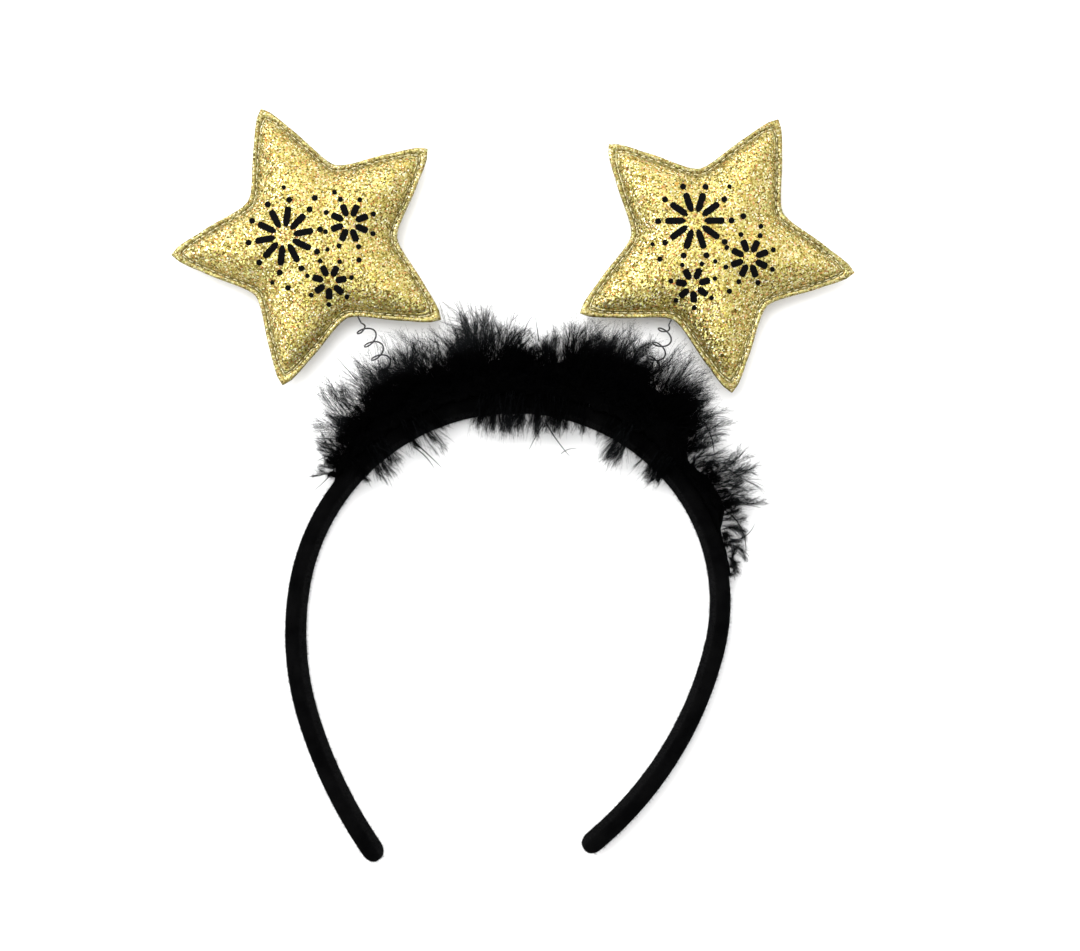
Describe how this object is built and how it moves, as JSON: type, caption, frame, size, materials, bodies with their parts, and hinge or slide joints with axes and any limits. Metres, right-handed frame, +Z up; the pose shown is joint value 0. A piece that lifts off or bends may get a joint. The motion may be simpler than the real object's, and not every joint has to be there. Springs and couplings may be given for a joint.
{
  "type": "new year headband",
  "caption": "Velvet covered headband with a fluffy feather trim and padded glitter stars on wire springs.",
  "frame": {"origin": "middle of the floor under the whole headband as it lies on its side", "axes": "+Z up, out of the surface it lies on; +Y from the ends of the band to the stars; +X to the right"},
  "size_m": [0.2144, 0.2362, 0.0273],
  "materials": {
    "velvet": "short black velvet pile",
    "feathers": "fluffy black down feathers",
    "spring_wire": "thin dark wire",
    "glitter_cloth": "gold glitter cloth",
    "wadding": "soft white fibre"
  },
  "bodies": {
    "root": {"band": "velvet", "feather_trim": "feathers", "spring_left": "spring_wire", "spring_right": "spring_wire", "star_left_front": "glitter_cloth", "star_left_back": "glitter_cloth", "star_left_wadding": "wadding", "star_right_front": "glitter_cloth", "star_right_back": "glitter_cloth", "star_right_wadding": "wadding"}
  },
  "joints": []
}
